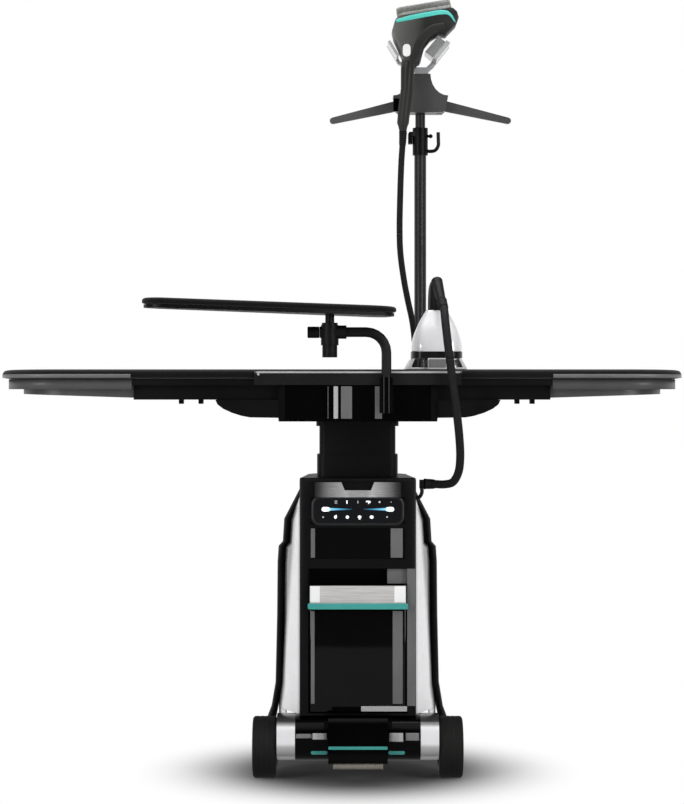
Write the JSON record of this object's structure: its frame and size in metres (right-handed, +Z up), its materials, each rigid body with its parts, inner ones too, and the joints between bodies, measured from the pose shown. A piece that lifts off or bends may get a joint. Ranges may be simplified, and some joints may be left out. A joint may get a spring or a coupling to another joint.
{
  "type": "ironing system",
  "caption": "Ironing station: padded board on a wheeled steam base, with iron, sleeve board, and a garment steamer on a telescopic pole.",
  "frame": {"origin": "middle of the whole part at floor level, where the wheels and the rear feet stand", "axes": "+Z up, +X along the board to the right as seen from the front, -Y to the front, where the display and the pedal are"},
  "size_m": [1.3, 0.5966, 1.5345],
  "materials": {
    "axle": "ground steel",
    "axle_housing": "glossy black moulding",
    "base_tray": "satin black moulding",
    "board_cradle": "satin black paint",
    "board_frame": "glossy black moulding",
    "board_pad": "black woven cover",
    "boiler": "cast, as made",
    "brow_trim": "brushed",
    "clamp_knob": "satin black moulding",
    "collar_lever": "dark grey moulding",
    "control_board": "circuit board",
    "display_glass": "dark glossy window",
    "end_cover_left": "dark grey moulding",
    "end_cover_right": "dark grey moulding",
    "foot_pedal": "glossy black moulding",
    "front_frame": "glossy black moulding",
    "front_lip": "glossy black moulding",
    "front_panel": "glossy black moulding",
    "gas_spring_rod": "drawn steel",
    "gas_spring_tube": "drawn steel",
    "hanger_arm_left": "satin black moulding",
    "hanger_arm_right": "satin black moulding",
    "hanger_hub": "dark grey moulding",
    "hose_socket": "satin black moulding",
    "hub_cover": "glossy black moulding",
    "hub_sleeve_left": "satin silver paint",
    "hub_sleeve_right": "satin silver paint",
    "inner_column": "satin black paint",
    "iron_body": "silver lacquer",
    "iron_handle": "satin black moulding",
    "iron_hose": "braided hose cover",
    "iron_rest": "light grey moulding",
    "iron_soleplate": "polished sole with a dark skirt",
    "iron_trigger": "dark grey moulding",
    "outer_column": "satin black paint",
    "pole_collar": "satin black moulding",
    "pole_lower": "dark grey paint",
    "pole_upper": "dark grey paint",
    "rear_shell": "glossy black moulding",
    "side_panel_left": "light glossy moulding",
    "side_panel_right": "light glossy moulding",
    "side_rail_left": "satin black moulding",
    "side_rail_right": "satin black moulding",
    "sleeve_arm": "dark grey paint",
    "sleeve_board": "dark grey moulding",
    "sleeve_pad": "black woven cover",
    "steamer_body": "dark grey moulding",
    "steamer_brush": "bristles on a backing",
    "steamer_button": "white moulding",
    "steamer_cradle": "white moulding",
    "steamer_hose_lower": "braided hose cover",
    "steamer_hose_upper": "braided hose cover",
    "tank_handle": "brushed",
    "tank_lid": "satin black moulding",
    "top_deck": "glossy black moulding",
    "tyre_left": "matt moulded rubber",
    "tyre_right": "matt moulded rubber",
    "water_tank": "glossy black moulding",
    "wheel_hub_left": "black moulded hub",
    "wheel_hub_right": "black moulded hub"
  },
  "bodies": {
    "root": {"base_tray": "base_tray", "rear_shell": "rear_shell", "front_frame": "front_frame", "side_panel_left": "side_panel_left", "side_panel_right": "side_panel_right", "side_rail_left": "side_rail_left", "side_rail_right": "side_rail_right", "top_deck": "top_deck", "brow_trim": "brow_trim", "display_glass": "display_glass", "front_panel": "front_panel", "axle_housing": "axle_housing", "hub_sleeve_left": "hub_sleeve_left", "hub_sleeve_right": "hub_sleeve_right", "axle": "axle", "boiler": "boiler", "control_board": "control_board", "outer_column": "outer_column", "gas_spring_tube": "gas_spring_tube", "hose_socket": "hose_socket", "steamer_hose_lower": "steamer_hose_lower"},
    "wheel_left": {"tyre_left": "tyre_left", "wheel_hub_left": "wheel_hub_left"},
    "wheel_right": {"tyre_right": "tyre_right", "wheel_hub_right": "wheel_hub_right"},
    "pedal": {"foot_pedal": "foot_pedal"},
    "tank": {"water_tank": "water_tank", "tank_handle": "tank_handle"},
    "lid": {"tank_lid": "tank_lid"},
    "board": {"inner_column": "inner_column", "gas_spring_rod": "gas_spring_rod", "board_cradle": "board_cradle", "hub_cover": "hub_cover", "board_frame": "board_frame", "end_cover_left": "end_cover_left", "end_cover_right": "end_cover_right", "board_pad": "board_pad", "front_lip": "front_lip", "iron_rest": "iron_rest", "pole_lower": "pole_lower", "pole_collar": "pole_collar", "iron_hose": "iron_hose"},
    "sleeve_support": {"sleeve_arm": "sleeve_arm"},
    "knob": {"clamp_knob": "clamp_knob"},
    "sleeve_board": {"sleeve_board": "sleeve_board", "sleeve_pad": "sleeve_pad"},
    "iron": {"iron_soleplate": "iron_soleplate", "iron_body": "iron_body", "iron_handle": "iron_handle"},
    "trigger": {"iron_trigger": "iron_trigger"},
    "upper_pole": {"pole_upper": "pole_upper", "hanger_hub": "hanger_hub", "steamer_cradle": "steamer_cradle", "steamer_hose_upper": "steamer_hose_upper"},
    "lever": {"collar_lever": "collar_lever"},
    "left_hanger_arm": {"hanger_arm_left": "hanger_arm_left"},
    "right_hanger_arm": {"hanger_arm_right": "hanger_arm_right"},
    "steamer": {"steamer_body": "steamer_body", "steamer_brush": "steamer_brush"},
    "button": {"steamer_button": "steamer_button"}
  },
  "joints": [
    {"name": "board_lift", "type": "slide", "parent": "root", "child": "board", "axis": [0, 0, 1], "range_m": [0, 0.2]},
    {"name": "wheel_left_turn", "type": "hinge", "parent": "root", "child": "wheel_left", "pos_m": [-0.14735, -0.06471, 0.0589], "axis": [1, 0, 0], "continuous": true},
    {"name": "wheel_right_turn", "type": "hinge", "parent": "root", "child": "wheel_right", "pos_m": [0.20735, -0.06471, 0.0589], "axis": [1, 0, 0], "continuous": true},
    {"name": "pedal_press", "type": "hinge", "parent": "root", "child": "pedal", "pos_m": [0.03, -0.13821, 0.112], "axis": [1, 0, 0], "range_deg": [0, 8], "stiffness_Nm_per_rad": 1.5, "springref_deg": -3.44},
    {"name": "tank_slide", "type": "slide", "parent": "root", "child": "tank", "axis": [0, -1, 0], "range_m": [0, 0.12]},
    {"name": "tank_lid_flip", "type": "hinge", "parent": "tank", "child": "lid", "pos_m": [0.03, -0.04171, 0.3283], "axis": [-1, 0, 0], "range_deg": [0, 75]},
    {"name": "sleeve_arm_swivel", "type": "hinge", "parent": "board", "child": "sleeve_support", "pos_m": [0.0828, -0.18671, 0.75], "axis": [0, 0, 1], "range_deg": [-35, 100]},
    {"name": "clamp_knob_turn", "type": "hinge", "parent": "sleeve_support", "child": "knob", "pos_m": [-0.0532, -0.18671, 0.8501], "axis": [1, 0, 0], "range_deg": [-180, 180]},
    {"name": "sleeve_board_swivel", "type": "hinge", "parent": "sleeve_support", "child": "sleeve_board", "pos_m": [-0.0228, -0.18671, 0.85], "axis": [0, 0, 1], "range_deg": [-75, 75]},
    {"name": "iron_lift", "type": "slide", "parent": "board", "child": "iron", "axis": [0, 0, 1], "range_m": [0, 0.1]},
    {"name": "iron_trigger_press", "type": "slide", "parent": "iron", "child": "trigger", "axis": [0, 0, 1], "range_m": [0, 0.003], "stiffness_N_per_m": 200, "springref_m": -0.002},
    {"name": "pole_extend", "type": "slide", "parent": "board", "child": "upper_pole", "axis": [0, 0, 1], "range_m": [0, 0.25]},
    {"name": "collar_lever_turn", "type": "hinge", "parent": "board", "child": "lever", "pos_m": [0.141, 0.27829, 1.27], "axis": [0, 1, 0], "range_deg": [0, 60]},
    {"name": "hanger_arm_left_fold", "type": "hinge", "parent": "upper_pole", "child": "left_hanger_arm", "pos_m": [0.1176, 0.27329, 1.329], "axis": [0, -1, 0], "range_deg": [0, 62]},
    {"name": "hanger_arm_right_fold", "type": "hinge", "parent": "upper_pole", "child": "right_hanger_arm", "pos_m": [0.2056, 0.27329, 1.329], "axis": [0, 1, 0], "range_deg": [0, 62]},
    {"name": "steamer_lift", "type": "slide", "parent": "upper_pole", "child": "steamer", "axis": [0, 0, 1], "range_m": [0, 0.05]},
    {"name": "steamer_button_press", "type": "slide", "parent": "steamer", "child": "button", "axis": [0, 1, 0], "range_m": [0, 0.002], "stiffness_N_per_m": 200, "springref_m": -0.002}
  ]
}
